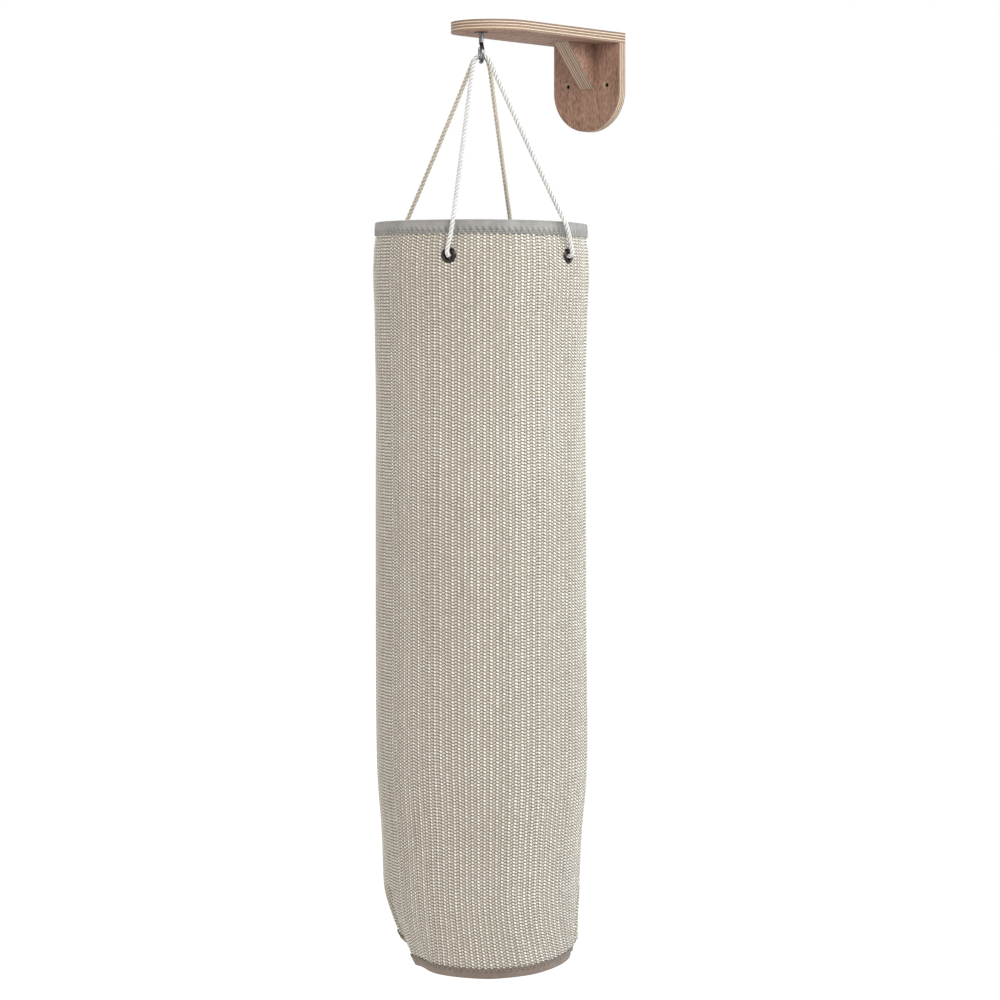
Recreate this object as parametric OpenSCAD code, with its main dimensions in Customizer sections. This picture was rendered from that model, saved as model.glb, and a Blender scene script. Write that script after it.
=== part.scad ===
// Woven matting punch bag that hangs by two cords from a plywood wall bracket.
// Origin: wall face, centre of the two mounting holes. +Z up, the wall is the plane y = 0,
// the bracket reaches out along -Y.

/* [Bracket] */
// Width of the arm and of the wall plate
bracket_w = 110; // [100:1:130]
// Thickness of the plywood of the arm and the wall plate
ply_t = 14; // [12:0.5:18]
// Length of the arm, from the wall to its round tip
arm_length = 280; // [270:5:320]
// Length of the gusset along the arm and along the wall plate
gusset_leg = 60; // [50:1:70]
// Thickness of one of the two glued gusset boards
gusset_board_t = 12; // [10:0.5:15]
// Height of the arm's underside over the mounting holes
arm_rise = 56; // [50:1:65]
// Distance of the wall plate's lowest point under the mounting holes
plate_drop = 62.5; // [58:0.5:75]

/* [Mounting holes] */
// Distance between the two mounting holes
mount_spacing = 65; // [60:1:75]
// Diameter of a mounting hole
mount_hole_d = 5; // [4:0.5:6]
// Diameter of the countersink's mouth
mount_sink_d = 10; // [8:0.5:12]

/* [Assembly screws] */
// Shank diameter of the screws that hold the bracket together
screw_d = 4; // [3:0.5:5]
// Diameter of a screw's flat head
screw_head_d = 8; // [7:0.5:9]
// Length of the screws through the arm into the wall plate
arm_screw_length = 45; // [40:1:50]
// Length of the screws through the arm and the wall plate into the gusset
gusset_screw_length = 35; // [30:1:38]

/* [Hook] */
// Distance of the hook from the wall
hook_reach = 250; // [240:1:255]
// Thickness of the hook's wire
wire_d = 6; // [5:0.5:7]
// Inner radius of the hook's bowl
hook_inner_r = 7.5; // [7:0.5:10]
// Depth of the bowl's centre under the arm
bowl_drop = 28; // [26:1:34]
// Direction that the hook's bowl bulges to, as an angle from +X
hook_yaw = -45; // [-90:5:0]
// Outer diameter of the washer and of the tee nut's flange
washer_d = 17; // [14:1:20]
// Thickness of the washer and of the tee nut's flange
washer_t = 1.2; // [1:0.1:1.6]

/* [Cords] */
// Diameter of the cords
cord_d = 6; // [5:0.5:7]
// Size of a stopper knot across
knot_d = 14; // [12:1:18]

/* [Bag] */
// Outer radius of the matting tube
bag_r = 140; // [135:1:145]
// Thickness of the matting
matting_t = 8; // [6:0.5:10]
// Height of the bag's rim under the mounting holes
rim_drop = 194; // [190:1:200]
// Height of the bag, from rim to hem
bag_h = 972; // [900:1:1000]
// Height of the lower stretch that draws in
taper_h = 330; // [250:1:400]
// Outer radius of the hem
hem_r = 112; // [108:1:130]
// Direction midway between the two right-hand eyelets, as an angle from +X
bag_yaw = 55.5; // [40:0.5:70]

/* [Eyelets] */
// Depth of the eyelets under the rim
eyelet_drop = 44; // [40:1:50]
// Half the angle between the two eyelets of one side
eyelet_half = 55; // [45:1:60]
// Angle by which the rear pair of eyelets is out of line with the front pair
rear_offset = 2; // [0:1:5]
// Outer diameter of an eyelet's flange
eyelet_d = 20; // [18:1:22]
// Diameter of an eyelet's opening
eyelet_hole_d = 9.6; // [9:0.1:11]

/* [Trim] */
// Height of the tape round the rim
top_tape_h = 16; // [12:1:20]
// Height of the tape round the hem
hem_tape_h = 12; // [10:1:16]
// Thickness of the tapes
tape_t = 1.2; // [1:0.1:2]
// Width of the tape inside the side seam
seam_tape_w = 30; // [20:1:40]
// Thickness of the sewing thread
thread_d = 1; // [0.6:0.1:1.4]

/* [Inside] */
// Depth of the liner's shoulder under the rim
fill_drop = 110; // [90:5:130]
// Thickness of the liner's cloth
liner_t = 1.5; // [1:0.1:2]
// Gap between the liner and the matting
liner_gap = 2; // [1:0.5:5]
// Height of the base panel over the hem's edge
base_rise = 14; // [12:1:30]
// Thickness of the base panel
base_t = 4; // [3:0.5:6]
// Depth of the base panel's cut-outs round the hem's pleats
cutout_depth = 56; // [40:1:60]
// Width of those cut-outs
cutout_w = 28; // [24:1:34]

/* [Hidden] */

$fn = 96;
fit = 0.05;
eps = 0.5;

// Bracket, derived
tip_r = bracket_w / 2;
arm_top = arm_rise + ply_t;
plate_round_z = tip_r - plate_drop;
arm_screw_x = 35;
gusset_screw_y = -48;
gusset_screw_z = 25;

// Hook, derived
bowl_r = hook_inner_r + wire_d / 2;
bowl_z = arm_rise - bowl_drop;
neck_r = wire_d;
neck_z = sqrt(pow(bowl_r + neck_r, 2) - pow(neck_r, 2));
neck_angle = atan2(neck_z, neck_r);
hook_tip_angle = 135;
tee_barrel_r = 4;
tee_barrel_h = 10;
collar_r = wire_d / 2 + 0.3;

// Bag, derived
rim_z = -rim_drop;
hem_z = rim_z - bag_h;
eyelet_z = rim_z - eyelet_drop;
eyelet_angles = [
  bag_yaw - eyelet_half, bag_yaw + eyelet_half - rear_offset,
  bag_yaw + 180 - eyelet_half - rear_offset, bag_yaw + 180 + eyelet_half
];
barrel_r = eyelet_hole_d / 2 + 0.8;
flange_t = 1;
// A flat washer inside the round tube touches it only at its rim
washer_sag = bag_r - matting_t - sqrt(pow(bag_r - matting_t, 2) - pow(eyelet_d / 2, 2));
barrel_depth = matting_t + washer_sag + flange_t + fit;
seam_angle = bag_yaw + 90;
pleat_angles = [27, 237];
taper_power = 2.2;
taper_steps = 20;
stitch_from_edge = 3;
base_z = hem_z + base_rise;
base_clear = 1.5;
neck_drop = 40;
liner_neck_r = 16;

// Route of the front cord's centre line, from its right eyelet over the hook to its left
// eyelet. x and y are counted from the hook's axis, z from the mounting holes.
// The rear cord is the same route, turned half round the hook's axis, less rear_offset.
front_route = [
  [131, 1, -238], [137, 1, -238], [142, 1, -238], [145.5, 1, -236.5], [147, 0.5, -233],
  [147, -2, -224], [147, -6, -212], [146.5, -10.5, -200], [143.5, -14.5, -190], [124, -12.5, -160],
  [86, -8, -100], [48, -3, -40], [20, 1.5, 4], [14, 2.5, 14], [9.5, 2.5, 20.5],
  [5.5, 0.5, 24.1], [2.2, -2.2, 25.1],
  [-1, -5, 24.1], [-3.5, -8, 20.5], [-4, -11, 14], [-2.5, -16, 4], [11, -42, -40],
  [29.5, -78, -100], [48, -114, -160], [57.5, -132.5, -190], [57.5, -135, -200], [55.5, -136, -212],
  [53, -137, -224], [51.5, -137.5, -233], [51, -136, -236.5], [49.5, -133, -238],
  [48, -128, -238], [46, -122.5, -238]
];

// ---------- helpers ----------

function unit(v) = v / norm(v);

// Direction of a route at one of its points
function along(route, i) =
  unit(route[min(i + 1, len(route) - 1)] - route[max(i - 1, 0)]);

// A frame that is carried along the route with no twist: one sideways vector for each point
function sideways(route, i = 0, last = [0, 0, 1], made = []) =
  i == len(route) ? made :
  let (t = along(route, i), s = unit(last - (last * t) * t))
  sideways(route, i + 1, s, concat(made, [s]));

// Tube along a route, as one closed solid
module tube(route, r, sides = 8) {
  sides_of = sideways(route);
  points = [
    for (i = [0 : len(route) - 1])
      let (t = along(route, i), u = sides_of[i], v = cross(t, u))
      for (k = [0 : sides - 1])
        let (a = 360 * k / sides) route[i] + r * (cos(a) * u + sin(a) * v)
  ];
  last = (len(route) - 1) * sides;
  walls = [
    for (i = [0 : len(route) - 2], k = [0 : sides - 1])
      let (a = i * sides + k, b = i * sides + (k + 1) % sides) [a, a + sides, b + sides, b]
  ];
  start_cap = [for (k = [0 : sides - 1]) k];
  end_cap = [for (k = [sides - 1 : -1 : 0]) last + k];
  polyhedron(points, concat([start_cap], walls, [end_cap]));
}

// Countersunk screw along -Z, the top of its head at z = 0
module countersunk(length, d, head_d, grow = 0) {
  head_h = (head_d - d) / 2;
  tip_h = d;
  rotate_extrude()
    polygon([
      [0, 0], [head_d / 2 + grow, 0], [d / 2 + grow, -head_h], [d / 2 + grow, tip_h - length],
      [0.3 + grow, -length - grow], [0, -length - grow]
    ]);
}

module at_hook() {
  translate([0, -hook_reach, 0]) children();
}

module ring(inner_r, outer_r, h) {
  difference() {
    cylinder(r = outer_r, h = h);
    translate([0, 0, -eps]) cylinder(r = inner_r, h = h + 2 * eps);
  }
}

// Round tapering stretch of the tube: its outer radius at a height over the hem
function radius_at(h) =
  h >= taper_h ? bag_r : bag_r - (bag_r - hem_r) * pow(1 - h / taper_h, taper_power);

taper_hs = [for (i = [0 : taper_steps]) taper_h * i / taper_steps];

// Wall of a given thickness, `inset` inside the tube's outer face, between two heights over the hem
function wall_profile(inset, thick, low, high) =
  let (hs = concat([low], [for (h = taper_hs) if (h > low && h < high) h], [high]))
  concat(
    [for (h = hs) [radius_at(h) - inset, hem_z + h]],
    [for (i = [len(hs) - 1 : -1 : 0]) [radius_at(hs[i]) - inset - thick, hem_z + hs[i]]]
  );

module wall(inset, thick, low, high, angle = 360) {
  at_hook() rotate_extrude(angle = angle) polygon(wall_profile(inset, thick, low, high));
}

// One child at each eyelet, turned so that +X is radial, at the tube's outer face
module at_eyelets() {
  for (a = eyelet_angles) at_hook() rotate([0, 0, a]) translate([bag_r, 0, eyelet_z]) children();
}

// Ring of thread round the bag
module thread_ring(r, z) {
  at_hook() translate([0, 0, z]) rotate_extrude() translate([r, 0]) circle(d = thread_d, $fn = 24);
}

// ---------- bracket ----------

module mount_hole(side) {
  translate([side * mount_spacing / 2, -ply_t - eps, 0]) rotate([-90, 0, 0])
    cylinder(d = mount_hole_d, h = ply_t + 2 * eps);
  sink_h = (mount_sink_d - mount_hole_d) / 2;
  translate([side * mount_spacing / 2, -ply_t, 0]) rotate([-90, 0, 0])
    cylinder(d1 = mount_sink_d, d2 = mount_hole_d, h = sink_h);
}

module place_arm_screws() {
  for (side = [-1, 1]) translate([side * arm_screw_x, -ply_t / 2, arm_top]) children();
}

module place_gusset_screws() {
  for (side = [-1, 1]) {
    translate([side * gusset_board_t / 2, gusset_screw_y, arm_top]) children();
    translate([side * gusset_board_t / 2, 0, gusset_screw_z]) rotate([-90, 0, 0]) children();
  }
}

module screw_cuts() {
  place_arm_screws() countersunk(arm_screw_length, screw_d, screw_head_d, fit);
  place_gusset_screws() countersunk(gusset_screw_length, screw_d, screw_head_d, fit);
}

module wall_plate() {
  color([0.64, 0.50, 0.43])
    difference() {
      union() {
        translate([-tip_r, -ply_t, plate_round_z]) cube([bracket_w, ply_t, arm_rise - plate_round_z]);
        translate([0, 0, plate_round_z]) rotate([90, 0, 0]) cylinder(r = tip_r, h = ply_t);
      }
      for (side = [-1, 1]) mount_hole(side);
      screw_cuts();
    }
}

module bracket_arm() {
  straight = arm_length - tip_r;
  color([0.66, 0.52, 0.45])
    difference() {
      union() {
        translate([-tip_r, -straight, arm_rise]) cube([bracket_w, straight, ply_t]);
        translate([0, -straight, arm_rise]) cylinder(r = tip_r, h = ply_t);
      }
      at_hook() translate([0, 0, arm_rise - eps]) cylinder(d = wire_d + 2 * fit, h = ply_t + 2 * eps);
      at_hook() translate([0, 0, arm_top - tee_barrel_h - fit])
        cylinder(r = tee_barrel_r + fit, h = tee_barrel_h + fit + eps);
      screw_cuts();
    }
}

module gusset_board(side) {
  low_x = side < 0 ? -gusset_board_t : 0;
  difference() {
    translate([low_x, 0, 0]) rotate([90, 0, 90]) linear_extrude(gusset_board_t)
      polygon([
        [-ply_t, arm_rise], [-ply_t, arm_rise - gusset_leg], [-ply_t - gusset_leg, arm_rise]
      ]);
    screw_cuts();
  }
}

module gusset_left() {
  color([0.74, 0.62, 0.52]) gusset_board(-1);
}

module gusset_right() {
  color([0.76, 0.64, 0.54]) gusset_board(1);
}

module arm_screws() {
  color([0.75, 0.75, 0.72]) place_arm_screws() countersunk(arm_screw_length, screw_d, screw_head_d);
}

module gusset_screws() {
  color([0.75, 0.75, 0.72])
    place_gusset_screws() countersunk(gusset_screw_length, screw_d, screw_head_d);
}

// ---------- hook ----------

// Bend of the wire in the X-Z plane, round the origin, from one angle on
module wire_bend(r, from, sweep) {
  rotate([90, 0, 0]) rotate([0, 0, from])
    rotate_extrude(angle = sweep) translate([r, 0]) circle(d = wire_d, $fn = 48);
}

// Round end of the wire, standing on the plane z = 0
module wire_end() {
  rotate_extrude()
    intersection() {
      circle(d = wire_d, $fn = 48);
      square(wire_d);
    }
}

module hook() {
  shank_low = bowl_z + neck_z;
  shank_high = arm_rise - washer_t;
  thread_high = arm_top + washer_t;
  tip = [bowl_r * cos(hook_tip_angle), 0, bowl_r * sin(hook_tip_angle)];
  bend_joint = [bowl_r * cos(neck_angle), 0, bowl_r * sin(neck_angle)];
  color([0.72, 0.74, 0.76])
    at_hook() rotate([0, 0, hook_yaw]) {
      translate([0, 0, shank_low])
        cylinder(r1 = wire_d / 2, r2 = collar_r, h = shank_high - shank_low);
      translate([0, 0, shank_high - eps]) cylinder(d = wire_d, h = thread_high - shank_high + eps);
      translate([neck_r, 0, shank_low]) wire_bend(neck_r, 180, neck_angle);
      translate([0, 0, bowl_z])
        wire_bend(bowl_r, hook_tip_angle, 360 - hook_tip_angle + neck_angle);
      translate([0, 0, bowl_z]) translate(tip) rotate([0, 180 - hook_tip_angle, 0]) wire_end();
      // A hair thicker than the wire, so that the two bends it covers become one solid
      translate([0, 0, bowl_z]) translate(bend_joint) sphere(d = wire_d + fit, $fn = 48);
    }
}

module hook_lower_washer() {
  color([0.36, 0.35, 0.34])
    at_hook() translate([0, 0, arm_rise - washer_t]) ring(wire_d / 2 + fit, washer_d / 2, washer_t);
}

// Pushed into the arm from above: its barrel carries the hook's thread
module hook_tee_nut() {
  color([0.70, 0.71, 0.72])
    at_hook() {
      translate([0, 0, arm_top]) ring(wire_d / 2 + fit, washer_d / 2, washer_t);
      translate([0, 0, arm_top - tee_barrel_h]) ring(wire_d / 2 + fit, tee_barrel_r, tee_barrel_h + eps);
    }
}

// ---------- cords ----------

module front_cord() {
  color([0.86, 0.83, 0.76]) at_hook() tube(front_route, cord_d / 2);
}

module rear_cord() {
  color([0.84, 0.81, 0.74]) at_hook() rotate([0, 0, 180 - rear_offset]) tube(front_route, cord_d / 2);
}

// Stopper knots, drawn up against the inside of the eyelets
module cord_knots() {
  knot_gap = 0.3;
  knot_x = -barrel_depth - knot_d / 2 - knot_gap;
  color([0.84, 0.81, 0.74]) at_eyelets() translate([knot_x, 0, 0]) sphere(d = knot_d, $fn = 48);
}

// ---------- bag ----------

module eyelets() {
  color([0.22, 0.21, 0.20])
    at_eyelets() rotate([0, 90, 0]) {
      ring(eyelet_hole_d / 2, eyelet_d / 2, flange_t);
      translate([0, 0, -barrel_depth]) ring(eyelet_hole_d / 2, barrel_r, barrel_depth + eps);
    }
}

module eyelet_washers() {
  color([0.25, 0.24, 0.23])
    at_eyelets() translate([-barrel_depth, 0, 0]) rotate([0, 90, 0])
      ring(barrel_r + fit, eyelet_d / 2, flange_t);
}

module matting_tube() {
  color([0.78, 0.75, 0.69])
    difference() {
      wall(0, matting_t, 0, bag_h);
      at_eyelets() translate([-2 * matting_t, 0, 0]) rotate([0, 90, 0])
        cylinder(r = barrel_r + fit, h = 3 * matting_t);
    }
}

// Tape folded round an edge: an outer and an inner leaf, joined past the edge
module rim_tape() {
  color([0.74, 0.74, 0.74]) {
    wall(-tape_t - fit, tape_t, bag_h - top_tape_h, bag_h + fit + tape_t);
    wall(matting_t + fit, tape_t, bag_h - top_tape_h, bag_h + fit + tape_t);
    wall(-tape_t - fit, matting_t + 2 * tape_t + 2 * fit, bag_h + fit, bag_h + fit + tape_t);
  }
}

module hem_tape() {
  color([0.60, 0.55, 0.49]) {
    wall(-tape_t - fit, tape_t, -tape_t - fit, hem_tape_h);
    wall(matting_t + fit, tape_t, -tape_t - fit, hem_tape_h);
    wall(-tape_t - fit, matting_t + 2 * tape_t + 2 * fit, -tape_t - fit, -fit);
  }
}

module rim_stitching() {
  z = rim_z - top_tape_h + stitch_from_edge;
  r = bag_r + fit + tape_t + thread_d / 2;
  color([0.80, 0.79, 0.77]) {
    thread_ring(r + fit, z);
    thread_ring(bag_r - matting_t - fit - tape_t - thread_d / 2 - fit, z);
  }
}

module hem_stitching() {
  h = hem_tape_h - stitch_from_edge;
  r = radius_at(h) + fit + tape_t + thread_d / 2;
  color([0.66, 0.62, 0.56]) thread_ring(r + 2 * fit, hem_z + h);
}

module seam_tape() {
  half = seam_tape_w / 2 / bag_r * 180 / PI;
  low = hem_tape_h + eps;
  high = bag_h - top_tape_h - eps;
  color([0.72, 0.70, 0.66])
    at_hook() rotate([0, 0, seam_angle - half])
      rotate_extrude(angle = 2 * half) polygon(wall_profile(matting_t + fit, tape_t, low, high));
}

// Two rows of thread on the outside of the side seam, over its straight stretch
module seam_stitching() {
  row_angle = 3;
  color([0.70, 0.66, 0.58])
    for (side = [-1, 1]) at_hook() rotate([0, 0, seam_angle + side * row_angle])
      translate([bag_r + thread_d / 2 + fit, 0, hem_z + taper_h])
        cylinder(d = thread_d, h = bag_h - taper_h - top_tape_h - eps, $fn = 24);
}

// Bar of thread that holds each pleat of the hem shut
module pleat_tacks() {
  h = hem_tape_h + stitch_from_edge;
  color([0.62, 0.58, 0.52])
    for (a = pleat_angles) at_hook() rotate([0, 0, a])
      translate([radius_at(h) + thread_d / 2 + tape_t, 0, hem_z + h]) rotate([90, 0, 0])
        cylinder(d = thread_d, h = eyelet_d / 2, center = true, $fn = 24);
}

// ---------- inside ----------

base_r = radius_at(base_rise) - matting_t - base_clear;

// Room for the hem's pleats, which fold inwards
module pleat_cutouts() {
  for (a = pleat_angles) at_hook() rotate([0, 0, a])
    translate([base_r - cutout_depth, -cutout_w / 2, base_z - base_t])
      cube([2 * cutout_depth, cutout_w, 3 * base_t]);
}

module base_panel() {
  color([0.72, 0.69, 0.62])
    difference() {
      at_hook() translate([0, 0, base_z]) cylinder(r = base_r, h = base_t);
      pleat_cutouts();
    }
}

module base_stitching() {
  color([0.66, 0.62, 0.56])
    difference() {
      thread_ring(base_r - 2 * stitch_from_edge, base_z - thread_d / 2 - fit);
      pleat_cutouts();
    }
}

// Half section of what fills the bag: straight, drawn in below, domed above
function sack_profile(inset, top_r, top_z) =
  let (
    low = base_rise + base_t + fit + inset - matting_t,
    high = bag_h - fill_drop,
    hs = concat([low], [for (h = taper_hs) if (h > low) h], [high])
  )
  concat(
    [[0, hem_z + low]],
    [for (h = hs) [radius_at(h) - inset, hem_z + h]],
    [for (i = [1 : 6]) let (a = 15 * i)
      [top_r + (bag_r - inset - top_r) * cos(a), hem_z + high + (top_z - hem_z - high) * sin(a)]],
    [[0, top_z]]
  );

liner_inset = matting_t + liner_gap + tape_t;
dome_z = rim_z - fill_drop + neck_drop;
neck_h = 30;

module liner_sack() {
  color([0.80, 0.77, 0.70])
    at_hook() difference() {
      union() {
        rotate_extrude() polygon(sack_profile(liner_inset, liner_neck_r, dome_z));
        translate([0, 0, dome_z - liner_t]) cylinder(r = liner_neck_r, h = neck_h);
      }
      rotate_extrude()
        polygon(sack_profile(liner_inset + liner_t, liner_neck_r, dome_z - 2 * liner_t));
    }
}

module liner_tie() {
  tie_d = 4;
  color([0.86, 0.83, 0.76])
    at_hook() translate([0, 0, dome_z + neck_h / 3])
      rotate_extrude() translate([liner_neck_r + tie_d / 2 + fit, 0]) circle(d = tie_d, $fn = 24);
}

module filling() {
  color([0.62, 0.62, 0.62])
    at_hook() rotate_extrude()
      polygon(sack_profile(liner_inset + liner_t + fit, liner_neck_r, dome_z - 2 * liner_t - fit));
}

wall_plate();
bracket_arm();
gusset_left();
gusset_right();
arm_screws();
gusset_screws();
hook();
hook_lower_washer();
hook_tee_nut();
front_cord();
rear_cord();
cord_knots();
eyelets();
eyelet_washers();
matting_tube();
rim_tape();
rim_stitching();
hem_tape();
hem_stitching();
seam_tape();
seam_stitching();
pleat_tacks();
base_panel();
base_stitching();
liner_sack();
liner_tie();
filling();
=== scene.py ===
"""Woven matting punch bag on its plywood wall bracket: visual model in the CAD frame, in metres."""
import math

import bmesh
import bpy
import numpy as np
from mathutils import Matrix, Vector


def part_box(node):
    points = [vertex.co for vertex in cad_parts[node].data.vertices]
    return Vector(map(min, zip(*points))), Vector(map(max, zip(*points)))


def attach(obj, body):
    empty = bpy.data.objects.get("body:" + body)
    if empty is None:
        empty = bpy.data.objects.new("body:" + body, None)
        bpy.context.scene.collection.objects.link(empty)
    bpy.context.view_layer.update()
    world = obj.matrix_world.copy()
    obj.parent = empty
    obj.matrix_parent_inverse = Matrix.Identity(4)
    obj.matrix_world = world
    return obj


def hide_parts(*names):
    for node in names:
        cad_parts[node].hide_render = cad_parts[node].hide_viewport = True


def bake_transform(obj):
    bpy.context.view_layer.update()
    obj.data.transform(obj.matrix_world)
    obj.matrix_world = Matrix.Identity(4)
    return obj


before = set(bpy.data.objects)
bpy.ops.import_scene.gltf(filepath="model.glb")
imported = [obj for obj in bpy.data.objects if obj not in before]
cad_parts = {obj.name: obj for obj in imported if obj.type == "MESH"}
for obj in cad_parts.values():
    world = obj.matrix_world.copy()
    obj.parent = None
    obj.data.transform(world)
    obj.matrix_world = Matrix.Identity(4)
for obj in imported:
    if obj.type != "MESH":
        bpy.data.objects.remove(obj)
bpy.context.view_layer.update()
MM = 0.001


# ---- sizes, in mm, as in part.scad

# Directions are in degrees about the vertical, from +X. Heights called h are over the hem.
HOOK = np.array([0.0, -250.0, 0.0])
BAG_R, MATTING_T, TAPE_T = 140.0, 8.0, 1.2
RIM_Z, BAG_H = -194.0, 972.0
HEM_Z = RIM_Z - BAG_H
TAPER_H, HEM_R, TAPER_POWER = 330.0, 112.0, 2.2
RIM_TAPE_H, HEM_TAPE_H = 16.0, 12.0
EYELET_Z, EYELET_ANGLES = -238.0, (0.5, 108.5, 178.5, 290.5)
EYELET_HOLE_R, EYELET_R, BARREL_DEPTH = 4.8, 10.0, 9.43
SEAM_ANGLE = 145.5
PLEAT_ANGLES = (27.0, 237.0)
FRONT = 307.5  # the direction that fabric lengths are counted from
CORD_R = 3.0
REAR_TURN = 178.0  # from the front cord's route to the rear one's
HOLE_X, SINK_R = 32.5, 5.2  # the wall plate's two mounting holes and their countersinks

# From inside one eyelet, over the hook, and into the next one, from the hook's middle.
FRONT_ROUTE = [
    (131, 1, -238), (137, 1, -238), (142, 1, -238), (145.5, 1, -236.5), (147, 0.5, -233),
    (147, -2, -224), (147, -6, -212), (146.5, -10.5, -200), (143.5, -14.5, -190),
    (124, -12.5, -160), (86, -8, -100), (48, -3, -40), (20, 1.5, 4), (14, 2.5, 14),
    (9.5, 2.5, 20.5), (5.5, 0.5, 24.1), (2.2, -2.2, 25.1),
    (-1, -5, 24.1), (-3.5, -8, 20.5), (-4, -11, 14), (-2.5, -16, 4), (11, -42, -40),
    (29.5, -78, -100), (48, -114, -160), (57.5, -132.5, -190), (57.5, -135, -200),
    (55.5, -136, -212), (53, -137, -224), (51.5, -137.5, -233), (51, -136, -236.5),
    (49.5, -133, -238), (48, -128, -238), (46, -122.5, -238),
]


def heading(degrees):
    """Unit vector in plan."""
    return np.array([math.cos(math.radians(degrees)), math.sin(math.radians(degrees))])


def turned(degrees, start):
    """Turn from one direction to another, from -180 to 180."""
    return (degrees - start + 180) % 360 - 180


# ---- mesh helpers


def circle(count):
    """Even angles once round."""
    return np.linspace(0, 2 * math.pi, count, endpoint=False)


def spokes(angles, u, w):
    """Directions between two sideways vectors, or between rows of them."""
    return np.cos(angles)[:, None] * u + np.sin(angles)[:, None] * w


def uv_grid(u, v):
    """UV for a grid with u along its rows and v down its columns."""
    return np.stack(np.broadcast_arrays(u[None, :], v[:, None]), -1)


def lengths_along(points):
    """A line's length up to each of its points."""
    return np.r_[0, np.cumsum(np.linalg.norm(np.diff(points, axis=0), axis=1))]


def sample(marks, along, rows):
    """Points or vectors read off at marks along a line."""
    return np.stack([np.interp(marks, along, column) for column in np.asarray(rows).T], -1)


class Build:
    """Gathers points, faces and UVs in mm, and makes one object of them."""

    def __init__(self):
        self.points, self.faces, self.uvs, self.count = [], [], [], 0

    def add(self, points, faces, uvs=None):
        """faces: index rows into points; uvs: one (u, v) for each corner of each face."""
        points = np.asarray(points, float).reshape(-1, 3)
        faces = [list(map(int, f)) for f in faces]
        self.points.append(points)
        self.faces += [[i + self.count for i in f] for f in faces]
        if uvs is None:
            uvs = [(0.0, 0.0)] * sum(map(len, faces))
        self.uvs.append(np.asarray(uvs, float).reshape(-1, 2))
        self.count += len(points)

    def grid(self, points, uv=None, wrap=False, flip=False, keep=None):
        """Quads through points of rows x columns x 3. uv is rows x columns x 2, with one more
        column if it wraps. keep says which faces stay, by their middles."""
        m, n = points.shape[:2]
        i, j = np.meshgrid(np.arange(m - 1), np.arange(n if wrap else n - 1), indexing="ij")
        nxt = (j + 1) % n
        faces = np.stack([i * n + j, i * n + nxt, (i + 1) * n + nxt, (i + 1) * n + j], -1)
        faces = faces.reshape(-1, 4)
        if uv is None:
            uv = np.zeros((m, n + 1, 2))
        corners = np.stack([uv[i, j], uv[i, j + 1], uv[i + 1, j + 1], uv[i + 1, j]], -2)
        corners = corners.reshape(-1, 4, 2)
        if flip:
            faces, corners = faces[:, ::-1], corners[:, ::-1]
        if keep is not None:
            kept = keep(points.reshape(-1, 3)[faces].mean(1))
            faces, corners = faces[kept], corners[kept]
        self.add(points, faces, corners.reshape(-1, 2))

    def lid(self, first, count, order, at=0.0):
        """One face over a ring of points, from their numbers; at: both its UV values."""
        self.faces.append([first + k for k in range(count)][::order])
        self.uvs.append(np.full((count, 2), at))

    def lids(self, rows, sides, marks=(0.0, 0.0)):
        """A face over each end of the grid added last."""
        self.lid(self.count - rows * sides, sides, -1, marks[0])
        self.lid(self.count - sides, sides, 1, marks[1])

    def make(self, name, material, node=None, body=None):
        """The object, which stands for a CAD node and rides on a body."""
        mesh = bpy.data.meshes.new(name)
        mesh.from_pydata((np.concatenate(self.points) * MM).tolist(), [], self.faces)
        layer = mesh.uv_layers.new(name="UVMap")
        layer.data.foreach_set("uv", np.concatenate(self.uvs).ravel())
        mesh.polygons.foreach_set("use_smooth", [True] * len(self.faces))
        obj = bpy.data.objects.new(name, mesh)
        bpy.context.scene.collection.objects.link(obj)
        mesh.materials.append(material)
        form = bmesh.new()
        form.from_mesh(mesh)
        bmesh.ops.remove_doubles(form, verts=form.verts, dist=1e-7)
        loose = [v for v in form.verts if not v.link_faces]
        bmesh.ops.delete(form, geom=loose, context="VERTS")
        form.to_mesh(mesh)
        form.free()
        mesh.update()
        if node:
            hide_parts(node)
        if body:
            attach(obj, body)
        return obj


def unit(v):
    return v / np.linalg.norm(v, axis=-1, keepdims=True)


def smooth_path(points, step):
    """Catmull-Rom curve through points, resampled at even steps."""
    p = np.asarray(points, float)
    p = np.vstack([2 * p[0] - p[1], p, 2 * p[-1] - p[-2]])
    t = np.linspace(0, 1, 40, endpoint=False)[:, None]
    curve = [
        0.5 * (2 * b + (c - a) * t + (2 * a - 5 * b + 4 * c - d) * t**2
               + (3 * b - a - 3 * c + d) * t**3)
        for a, b, c, d in zip(p[:-3], p[1:-2], p[2:-1], p[3:])
    ]
    curve = np.vstack([*curve, p[-2:-1]])
    along = lengths_along(curve)
    marks = np.linspace(0, along[-1], max(2, round(along[-1] / step) + 1))
    return sample(marks, along, curve), marks


def carried_frames(path):
    """Tangents and two sideways vectors, carried along the path with no twist."""
    t = unit(np.gradient(path, axis=0))
    u = np.zeros_like(path)
    last = np.array([0.0, 0.0, 1.0])
    for i in range(len(path)):
        last = unit(last - (last @ t[i]) * t[i])
        u[i] = last
    return t, u, np.cross(t, u)


CAP_RISE = 0.35  # height of a tube's end over its radius


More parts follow.
